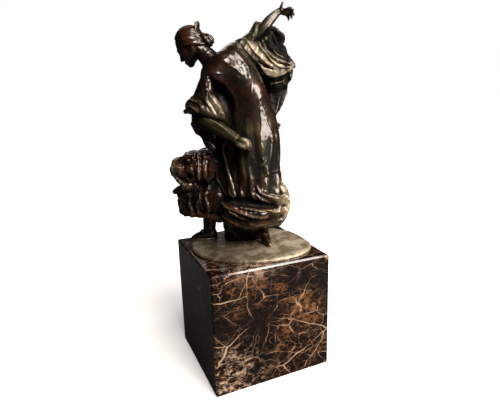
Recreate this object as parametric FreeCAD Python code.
import FreeCAD, Part

import math
import os

# Bronze statuette of a dancer in a flowing gown, bolted to a polished marble block.
#
# The bronze is cast in sections that are chased to one skin and pinned together, as a foundry does
# with a figure that has deep undercuts: a hollow gown in two halves, head, comb, two arms, sleeve
# pieces, flounces, legs and plinth. Two studs run through the block into the front leg and the rear
# mass, and a nut and washer hold each one in a counterbore under the block.
#
# Frame: millimetres, +Z up, origin at the centre of the felt pad's underside, X and Y along the
# block's sides. The figure is modelled in its own frame (she faces -X, her left side is towards -Y)
# and turned on the block.

Vector = FreeCAD.Vector
UP = Vector(0, 0, 1)

# Block, pad and fasteners
BLOCK_SIDE = 120.0
BLOCK_TOP = 120.0
BLOCK_CHAMFER = 1.4
FOOT_CHAMFER = 0.5
PAD_THICK = 0.8
PAD_INSET = 4.0
STUD_RADIUS = 3.0
STUD_HOLE_RADIUS = 3.4
TAP_DEPTH = 12.0
COUNTERBORE_RADIUS = 11.0
COUNTERBORE_DEPTH = 16.0
WASHER_RADIUS = 9.0
WASHER_THICK = 1.6
NUT_ACROSS_FLATS = 10.0
NUT_THICK = 5.0
STUD_PROUD = 2.5

# Plinth: a thin cast oval, a little wider than the block and trimmed to it
PLINTH_CENTRE = (2.0, 3.5)
PLINTH_HALF = (62.5, 53.5)
PLINTH_TRIM = 59.2
PLINTH_RIM = 1.8
PLINTH_THICK = 3.8
PLINTH_TOP = BLOCK_TOP + PLINTH_THICK

# The figure on the block
FIGURE_TURN = -28.3
WALL = 3.5
WAIST_Z = 238.0
LIP_HEIGHT = 5.0
LIP_THICK = 2.0
FOLD_COUNT = 9
FOLD_TWIST = 0.5  # degrees of turn per millimetre of height
FOLD_STEP = 7.0
LOFT_POINTS = 16
RING_POINTS = 12
END_SHARE = 0.5  # how far a limb's end runs past its last point, as a share of its radius there
PIN_RADIUS = 1.0

# Gown, from hem to shoulder: height, centre x, centre y, half width, half depth, fold depth
GOWN = [
    (151.0, 2.8, 1.0, 30.8, 26.6, 0.8),
    (158.0, 3.5, 1.0, 33.0, 29.0, 1.3),
    (168.0, 3.5, 0.0, 33.0, 30.0, 1.6),
    (182.0, 2.0, 0.0, 31.5, 28.5, 1.3),
    (200.0, 1.0, 0.0, 31.0, 27.5, 0.9),
    (220.0, 0.5, 0.0, 32.0, 27.0, 0.6),
    (WAIST_Z, -1.5, 0.0, 33.0, 27.5, 0.3),
    (256.0, -4.0, 0.0, 32.0, 27.0, 0.2),
    (270.0, -7.5, 0.0, 30.0, 26.5, 0.0),
    (283.0, -11.0, 0.0, 29.0, 27.5, 0.0),
    (295.0, -13.5, 0.0, 25.5, 28.0, 0.0),
    (304.0, -12.0, 0.5, 18.5, 26.0, 0.0),
    (311.0, -9.5, 1.5, 11.0, 22.0, 0.0),
    (316.5, -8.0, 2.5, 6.0, 15.0, 0.0),
    (319.5, -7.5, 3.0, 2.5, 7.0, 0.0),
]

# The rounded underside of the gown's hem
HEM_ROLL_CENTRE = Vector(2.6, 1.0, 153.0)
HEM_ROLL_SIZES = (30.6, 26.4, 9.5)

# Sleeve that hangs from the raised arm, tip to cuff: height, centre x, centre y, half width, half depth
SLEEVE = [
    (274.0, 27.0, 15.0, 4.0, 3.5),
    (281.0, 27.5, 15.5, 10.5, 6.5),
    (291.0, 28.0, 16.5, 15.0, 9.0),
    (302.0, 26.5, 17.5, 18.0, 11.0),
    (314.0, 20.5, 18.5, 17.5, 12.0),
    (324.0, 18.5, 19.5, 16.0, 10.5),
    (330.0, 20.0, 21.0, 11.5, 8.5),
    (335.5, 20.5, 22.5, 6.5, 5.0),
]

# Cloth and leg at the back of the hem, from the plinth up: height, centre x, centre y, half width, half depth
REAR_MASS = [
    (PLINTH_TOP - 1.0, -8.5, 18.0, 20.5, 9.5),
    (132.0, -7.0, 16.0, 21.5, 12.0),
    (141.0, -3.0, 10.0, 25.0, 16.5),
    (150.0, 1.0, 3.0, 28.0, 21.5),
]

# Head: skull centre, nod below the horizontal, and half sizes of skull, jaw and chignon
# (fore and aft, across, up)
HEAD_CENTRE = Vector(-49.5, -1.0, 317.0)
HEAD_NOD = 38.0
SKULL = (14.5, 12.0, 14.5)
JAW = (8.5, 8.5, 11.5)
CHIGNON = (6.5, 8.0, 6.0)
NECK_FOOT = Vector(-24.0, -1.0, 296.0)
NECK_RADIUS = 6.8

# Comb: foot of the plate at the back of the head, bend radius, thickness, width and height
COMB_FOOT = Vector(-41.8, -1.0, 322.0)
COMB_BEND = 16.0
COMB_THICK = 2.0
COMB_WIDTH = 15.0
COMB_HEIGHT = 14.0
COMB_CROWN = 8.4  # radius of the rounded top, seen from behind

# Where each stud stands, under the front leg and under the rear mass, in the figure's frame
FRONT_STUD = Vector(-44.5, 17.0, PLINTH_TOP)
REAR_STUD = Vector(-8.0, 18.0, PLINTH_TOP)


def spline_face_wire(points):
    """A closed smooth wire through points."""
    curve = Part.BSplineCurve()
    curve.interpolate(points, PeriodicFlag=True)
    return Part.Wire([curve.toShape()])


def oval_wire(z, cx, cy, half_x, half_y, fold=0.0):
    """A level oval, with FOLD_COUNT soft folds of the given depth that turn as they rise."""
    points = []
    count = 4 * FOLD_COUNT if fold else LOFT_POINTS
    for i in range(count):
        angle = 2 * math.pi * i / count
        phase = FOLD_COUNT * (angle - math.radians(FOLD_TWIST) * (z - WAIST_Z))
        swell = fold * math.cos(phase)
        x = cx + (half_x + swell) * math.cos(angle)
        y = cy + (half_y + swell) * math.sin(angle)
        points.append(Vector(x, y, z))
    return spline_face_wire(points)


def level_loft(rows, shrink=0.0):
    """A solid through level ovals, each drawn in by shrink."""
    wires = []
    for z, cx, cy, half_x, half_y, *fold in rows:
        depth = fold[0] if fold and not shrink else 0.0
        wires.append(oval_wire(z, cx, cy, half_x - shrink, half_y - shrink, depth))
    return Part.makeLoft(wires, True, False)


def ellipsoid(centre, half_sizes, turn=0.0):
    """An ellipsoid with half sizes along x, y and z, turned about y by turn degrees."""
    ball = Part.makeSphere(1.0)
    matrix = FreeCAD.Matrix()
    matrix.scale(Vector(*half_sizes))
    shape = ball.transformGeometry(matrix)
    shape.rotate(Vector(0, 0, 0), Vector(0, 1, 0), turn)
    shape.translate(centre)
    return shape


def limb(places, radii, flat=1.0):
    """A round or flattened limb through places, with a radius at each, and blunt ends."""
    points = [Vector(*place) for place in places]
    first = points[0] - (points[1] - points[0]).normalize() * radii[0] * END_SHARE
    last = points[-1] + (points[-1] - points[-2]).normalize() * radii[-1] * END_SHARE
    path = [first, *points, last]
    sizes = [radii[0] * END_SHARE, *radii, radii[-1] * END_SHARE]
    wires = []
    for i, (centre, radius) in enumerate(zip(path, sizes)):
        ahead = path[min(i + 1, len(path) - 1)] - path[max(i - 1, 0)]
        across = ahead.cross(Vector(0, 1, 0)).normalize()
        depth = across.cross(ahead).normalize()
        ring = []
        for step in range(RING_POINTS):
            angle = 2 * math.pi * step / RING_POINTS
            offset = across * (radius * math.cos(angle)) + depth * (radius * flat * math.sin(angle))
            ring.append(centre + offset)
        wires.append(spline_face_wire(ring))
    return Part.makeLoft(wires, True, False)


def rod(start, end, radius):
    """A plain cylinder between two points."""
    return Part.makeCylinder(radius, (end - start).Length, start, end - start)


def head_point(forward, across, up):
    """A point in the head's own frame, where forward is the way that she looks."""
    nod = math.radians(HEAD_NOD)
    x = -forward * math.cos(nod) - up * math.sin(nod)
    z = -forward * math.sin(nod) + up * math.cos(nod)
    return HEAD_CENTRE + Vector(x, across, z)


def gown_upper_rows():
    return [row for row in GOWN if row[0] >= WAIST_Z]


def gown_lower_rows():
    """The skirt's rows, with more between them so that the turning folds stay smooth."""
    rows = [row for row in GOWN if row[0] <= WAIST_Z]
    dense = [rows[0]]
    for below, above in zip(rows, rows[1:]):
        steps = math.ceil((above[0] - below[0]) / FOLD_STEP)
        for i in range(1, steps + 1):
            share = i / steps
            dense.append(tuple(a + (b - a) * share for a, b in zip(below, above)))
    return dense


def gown_envelope():
    """The whole gown as one solid, to trim the pieces that are fixed to it."""
    hem = ellipsoid(HEM_ROLL_CENTRE, HEM_ROLL_SIZES)
    return level_loft(gown_lower_rows()).fuse([hem, level_loft(gown_upper_rows())])


def upper_gown():
    """Bodice and back, hollow, with a lip that plugs into the lower gown."""
    outside = level_loft(gown_upper_rows())
    z, cx, cy, half_x, half_y, _ = gown_upper_rows()[0]
    start = (z - LIP_HEIGHT, cx, cy, half_x, half_y)
    core = level_loft([start, *[row[:5] for row in gown_upper_rows()[:-3]]], WALL + LIP_THICK)
    lip = level_loft([start, (z + 1.0, cx, cy, half_x, half_y)], WALL)
    return outside.fuse(lip).cut(core)


def lower_gown():
    """Skirt, hollow from the waist down, closed by the rolled hem."""
    outside = level_loft(gown_lower_rows()).fuse(ellipsoid(HEM_ROLL_CENTRE, HEM_ROLL_SIZES))
    core = level_loft([row[:5] for row in gown_lower_rows()[1:]], WALL)
    return outside.cut(core)


def head():
    """Skull, jaw, neck and the low chignon, in one small solid casting."""
    skull = ellipsoid(head_point(0, 0, 1), SKULL, -HEAD_NOD)
    jaw = ellipsoid(head_point(5.5, 0, -8), JAW, -HEAD_NOD)
    chignon = ellipsoid(head_point(-13.5, 0, -11.5), CHIGNON, -HEAD_NOD)
    neck = limb([head_point(-4, 0, -8), NECK_FOOT], [NECK_RADIUS, NECK_RADIUS + 1.2])
    return skull.fuse([jaw, chignon, neck])


def hair_comb():
    """A tall curved comb, its tang let into the hair."""
    axis = COMB_FOOT - Vector(COMB_BEND, 0, 0)
    outer = Part.makeCylinder(COMB_BEND, COMB_HEIGHT, axis, UP)
    plate = outer.cut(Part.makeCylinder(COMB_BEND - COMB_THICK, COMB_HEIGHT, axis, UP))
    corner = COMB_FOOT - Vector(2 * COMB_THICK, COMB_WIDTH / 2, 0)
    front = Part.makeBox(3 * COMB_THICK, COMB_WIDTH, COMB_HEIGHT, corner)
    crown_start = COMB_FOOT + Vector(-COMB_BEND, 0, COMB_HEIGHT - COMB_CROWN)
    crown = Part.makeCylinder(COMB_CROWN, 2 * COMB_BEND, crown_start, Vector(1, 0, 0))
    return plate.common(front).common(crown)


def raised_arm():
    """Forearm and open hand; the upper end sits inside the sleeve."""
    arm = limb([(13, 20.5, 328), (20, 22.5, 337.5), (27, 25, 345.5), (33, 26.5, 350.5)], [5.9, 5.2, 4.1, 2.9])
    palm = ellipsoid(Vector(37.6, 26.8, 349.4), (4.6, 3.4, 3.3))
    fingers = [
        limb([(33.8, 25.0, 351.0), (34.6, 24.2, 354.2), (35.8, 23.8, 357.2)], [1.8, 1.45, 0.95]),
        limb([(39.6, 24.8, 351.0), (43.0, 23.8, 352.0), (45.8, 23.6, 350.6)], [1.75, 1.55, 1.1]),
        limb([(40.2, 26.6, 350.0), (44.2, 26.2, 349.6), (46.2, 25.8, 346.8)], [1.75, 1.55, 1.15]),
        limb([(39.8, 28.4, 348.8), (43.2, 28.6, 347.2), (44.2, 28.2, 344.4)], [1.7, 1.5, 1.1]),
        limb([(38.4, 29.6, 347.8), (40.8, 30.2, 345.6), (41.2, 30.0, 343.0)], [1.5, 1.35, 1.0]),
    ]
    return arm.fuse([palm, *fingers])


def raised_sleeve():
    """The hanging sleeve, the shoulder that rises to the arm, the cloth behind it, and the open mouth."""
    shoulder = limb([(-6, 14, 310), (2, 17, 317), (8, 20, 324), (12, 21.5, 331)], [9.5, 9.5, 8.5, 6.5])
    cloth_path = [(-1, 6, 315), (7, 5, 310), (17, 5, 304.5), (28, 7, 301), (38, 11, 299)]
    cloth = limb(cloth_path, [8.5, 10.5, 12.0, 10.5, 6.0], 0.85)
    point = limb([(7.5, 19, 326), (9, 19.5, 333), (10.8, 20, 339)], [4.6, 3.2, 0.9])
    mouth = limb([(11.5, 11, 321), (15, 12, 328.5), (20, 13, 337)], [3.0, 6.2, 8.0])
    return level_loft(SLEEVE).fuse([shoulder, cloth, point]).cut(mouth)


def shawl_fall():
    """The end of the wrap, from under the raised sleeve down the back to the hip."""
    return limb([(15, 22, 300), (25, 23, 284), (25.5, 19, 270), (24, 12, 255)], [9, 14, 10.5, 5], 0.6)


def near_upper_arm():
    return limb([(-16, -21, 297), (-27, -28, 281), (-34, -32, 267)], [11, 9.5, 8.5])


def near_sleeve():
    """The gathered sleeve: a full elbow and a bunch of cloth across the bend of the arm."""
    elbow = ellipsoid(Vector(-37.5, -33.0, 262.5), (11.5, 9.5, 9.0))
    bunch = limb([(-29, -35, 269), (-23, -37, 262), (-17, -36.5, 256)], [7.0, 8.0, 5.0], 0.9)
    return elbow.fuse(bunch)


def sleeve_tip():
    """The sleeve's long hem, hanging under the forearm."""
    hem = limb([(-36, -28, 252), (-33, -25, 244), (-29, -22, 237)], [9.5, 8.0, 4.5], 0.8)
    point = limb([(-35, -26, 238), (-33, -24, 230), (-29, -21, 222)], [3.8, 3.6, 2.4])
    return hem.fuse(point)


def near_forearm():
    """Forearm and closed hand, resting on the hip."""
    arm = limb([(-31, -36, 249), (-18, -36.5, 241.5), (-5, -36, 233)], [7.6, 6.6, 4.8])
    fist = ellipsoid(Vector(1.2, -35.6, 229.0), (5.8, 5.4, 5.2))
    return arm.fuse(fist)


def upper_flounce():
    """The skirt's lifted front, a bunch of turned-back cloth with a long lip."""
    bunch = limb([(-31, -3, 208), (-44, -6, 203), (-58, -5, 200)], [16, 16, 11])
    fall = limb([(-50, -3, 200), (-51, -4, 184)], [12, 12])
    front = ellipsoid(Vector(-62.0, -11.0, 201.5), (6.6, 9.0, 8.0))
    lip = limb([(-50, -6, 186), (-58, -8, 185), (-65, -8, 182.5), (-70, -7, 180)], [5.0, 4.6, 3.8, 2.2], 2.0)
    return bunch.fuse([fall, front, lip])


def lower_flounce():
    """The second tier, under the first, and its full hem."""
    bunch = limb([(-28, -3, 174), (-42, -4, 172), (-57, -4, 169)], [18, 15, 10], 0.95)
    rise = limb([(-34, -3, 190), (-36, -3, 176)], [11, 12])
    hem = limb([(-59, -5, 164), (-48, -4, 164), (-35, -3, 163), (-24, -2, 160)], [7.5, 8.5, 10.5, 12])
    return bunch.fuse([rise, hem])


def hem_knot():
    """The bunched end of the train, at the back of the hem."""
    return limb([(27, -13, 157), (32.5, -7, 166), (32.5, 3, 177)], [7.0, 7.6, 5.6])


def shank(foot):
    """The blind hole that a stud screws into."""
    return Part.makeCylinder(STUD_RADIUS, TAP_DEPTH + PLINTH_THICK, foot - UP * PLINTH_THICK, UP)


def front_leg():
    """Leg and pointed shoe."""
    leg = limb([(-37, 8, 172), (-41, 13, 154), (-43.5, 16, 141), (-44.5, 17, 130)], [8.4, 7.8, 6.8, 6.2])
    sole = [(-41, 17.7, 129), (-50, 15.5, 128.2), (-57.2, 13.7, 126.6), (-61, 12.7, 125.8)]
    shoe = limb(sole, [5.6, 5.1, 3.6, 2.0])
    return leg.fuse(shoe)


def rear_leg():
    """The mass of underskirt and leg that carries the figure."""
    return level_loft(REAR_MASS)


def rear_shoe():
    """The pointed shoe that shows under the back of the hem."""
    path = [(14, 8, 140), (15.5, 2, 134.5), (18.4, -5, 129.4), (21.6, -11, 126.1)]
    return limb(path, [4.6, 4.4, 3.6, 2.0], 0.95)


def plinth():
    """A thin cast oval with a soft rim, trimmed to the block's sides."""
    centre_x, centre_y = PLINTH_CENTRE
    half_x, half_y = PLINTH_HALF
    oval = Part.Ellipse(Vector(centre_x, centre_y, BLOCK_TOP), half_x, half_y)
    plate = Part.Face(Part.Wire([oval.toShape()])).extrude(UP * PLINTH_THICK)
    corner = Vector(-PLINTH_TRIM, -PLINTH_TRIM, BLOCK_TOP)
    trim = Part.makeBox(2 * PLINTH_TRIM, 2 * PLINTH_TRIM, PLINTH_THICK, corner)
    plate = on_block(plate).common(trim)
    rim = [edge for edge in plate.Edges if edge.BoundBox.ZMin > PLINTH_TOP - 0.1]
    return plate.makeFillet(PLINTH_RIM, rim)


def on_block(shape):
    """Turns a shape from the figure's frame to the block's."""
    turned = shape.copy()
    turned.rotate(Vector(0, 0, 0), UP, FIGURE_TURN)
    return turned


def stud_places():
    """Where the studs stand, in the block's frame, at the level of the pad's underside."""
    places = []
    for foot in (FRONT_STUD, REAR_STUD):
        point = FreeCAD.Rotation(UP, FIGURE_TURN).multVec(foot)
        places.append(Vector(point.x, point.y, 0))
    return places


def marble_block():
    """A polished cube with narrow chamfers, finer at the foot, two stud holes and their counterbores."""
    half = BLOCK_SIDE / 2
    block = Part.makeBox(BLOCK_SIDE, BLOCK_SIDE, BLOCK_TOP - PAD_THICK, Vector(-half, -half, PAD_THICK))
    feet = [edge for edge in block.Edges if edge.BoundBox.ZMax < PAD_THICK + FOOT_CHAMFER]
    foot_marks = {edge.hashCode() for edge in feet}
    others = [edge for edge in block.Edges if edge.hashCode() not in foot_marks]
    block = block.makeChamfer(BLOCK_CHAMFER, others)
    feet = [edge for edge in block.Edges if edge.BoundBox.ZMax < PAD_THICK + FOOT_CHAMFER]
    block = block.makeChamfer(FOOT_CHAMFER, feet)
    for place in stud_places():
        hole = Part.makeCylinder(STUD_HOLE_RADIUS, BLOCK_TOP, place, UP)
        bore = Part.makeCylinder(COUNTERBORE_RADIUS, COUNTERBORE_DEPTH, place + UP * PAD_THICK, UP)
        block = block.cut(hole.fuse(bore))
    return block


def felt_pad():
    side = BLOCK_SIDE - 2 * PAD_INSET
    pad = Part.makeBox(side, side, PAD_THICK, Vector(-side / 2, -side / 2, 0))
    uprights = [edge for edge in pad.Edges if abs(edge.tangentAt(edge.FirstParameter).z) > 0.9]
    return pad.makeFillet(3.0, uprights)


def seat_height():
    """The level of the shoulder that each washer bears on."""
    return PAD_THICK + COUNTERBORE_DEPTH


def studs():
    """Threaded rods, from below the nut to the end of the tapped hole."""
    foot = seat_height() - WASHER_THICK - NUT_THICK - STUD_PROUD
    top = PLINTH_TOP + TAP_DEPTH - 1.0
    rods = []
    for place in stud_places():
        stud = Part.makeCylinder(STUD_RADIUS, top - foot, place + UP * foot, UP)
        rods.append(stud.makeChamfer(0.6, [stud.Edges[0], stud.Edges[2]]))
    return Part.makeCompound(rods)


def washers():
    foot = seat_height() - WASHER_THICK
    rings = []
    for place in stud_places():
        ring = Part.makeCylinder(WASHER_RADIUS, WASHER_THICK, place + UP * foot, UP)
        rings.append(ring.cut(Part.makeCylinder(STUD_HOLE_RADIUS, WASHER_THICK, place + UP * foot, UP)))
    return Part.makeCompound(rings)


def nuts():
    foot = seat_height() - WASHER_THICK - NUT_THICK
    corner = NUT_ACROSS_FLATS / math.sqrt(3)
    pieces = []
    for place in stud_places():
        ring = [place + UP * foot + Vector(corner * math.cos(a), corner * math.sin(a), 0)
                for a in (math.radians(60 * i) for i in range(7))]
        nut = Part.Face(Part.makePolygon(ring)).extrude(UP * NUT_THICK)
        pieces.append(nut.cut(Part.makeCylinder(STUD_RADIUS + 0.02, NUT_THICK, place + UP * foot, UP)))
    return Part.makeCompound(pieces)


def pin_lines():
    """Start and end of each pin that locks one section in another, in the figure's frame."""
    waist = WAIST_Z - LIP_HEIGHT / 2
    _, cx, cy, half_x, half_y, _ = gown_upper_rows()[0]
    lines = []
    for angle in (75, 135, 285, 345):
        ray = Vector(math.cos(math.radians(angle)), math.sin(math.radians(angle)), 0)
        reach = 1 / math.hypot(ray.x / half_x, ray.y / half_y)
        centre = Vector(cx, cy, waist)
        lines.append((centre + ray * (reach - 6.2), centre + ray * (reach - 1.5)))
    return lines


def main():
    os.makedirs("parts", exist_ok=True)
    envelope = gown_envelope()
    upper = upper_gown()
    lower = lower_gown()
    pins = [rod(start, end, PIN_RADIUS) for start, end in pin_lines()]
    upper, lower = upper.cut(Part.makeCompound(pins)), lower.cut(Part.makeCompound(pins))

    holes = [Part.makeCylinder(STUD_HOLE_RADIUS, 2 * PLINTH_THICK, place + UP * (BLOCK_TOP - 1), UP)
             for place in stud_places()]
    plate = plinth().cut(holes)
    above = Part.makeBox(300, 300, 300, Vector(-150, -150, PLINTH_TOP))

    # Each section is trimmed by those named before it, so that neighbours meet face to face.
    order = [
        ("head", head()),
        ("hair_comb", hair_comb()),
        ("raised_sleeve", raised_sleeve()),
        ("raised_arm", raised_arm()),
        ("shawl_fall", shawl_fall()),
        ("near_forearm", near_forearm()),
        ("near_upper_arm", near_upper_arm()),
        ("near_sleeve", near_sleeve()),
        ("sleeve_tip", sleeve_tip()),
        ("upper_flounce", upper_flounce()),
        ("lower_flounce", lower_flounce()),
        ("hem_knot", hem_knot()),
        ("front_leg", front_leg()),
        ("rear_leg", rear_leg()),
        ("rear_shoe", rear_shoe()),
    ]
    made = {}
    for name, shape in order:
        rivals = [envelope] + [other for key, other in made.items() if near(shape, other)]
        trimmed = shape.cut(rivals)
        trimmed = max(trimmed.Solids, key=lambda solid: solid.Volume)
        made[name] = trimmed
    made["front_leg"] = made["front_leg"].common(above).cut(shank(FRONT_STUD))
    made["rear_leg"] = made["rear_leg"].common(above).cut(shank(REAR_STUD))
    made["rear_shoe"] = made["rear_shoe"].common(above)

    parts = {name: on_block(shape) for name, shape in made.items()}
    parts["upper_gown"] = on_block(upper)
    parts["lower_gown"] = on_block(lower)
    parts["waist_pins"] = on_block(Part.makeCompound(pins))
    parts["plinth"] = plate
    parts["marble_block"] = marble_block()
    parts["felt_pad"] = felt_pad()
    parts["mounting_studs"] = studs()
    parts["washers"] = washers()
    parts["nuts"] = nuts()

    for name, shape in parts.items():
        volume = shape.Volume / 1000
        print(f"{name:16s} solids {len(shape.Solids)} valid {shape.isValid()} volume {volume:9.2f} cm3")
        shape.exportStep(f"parts/{name}.step")


def near(one, other):
    """True if the two shapes' boxes meet."""
    return one.BoundBox.intersect(other.BoundBox)


main()
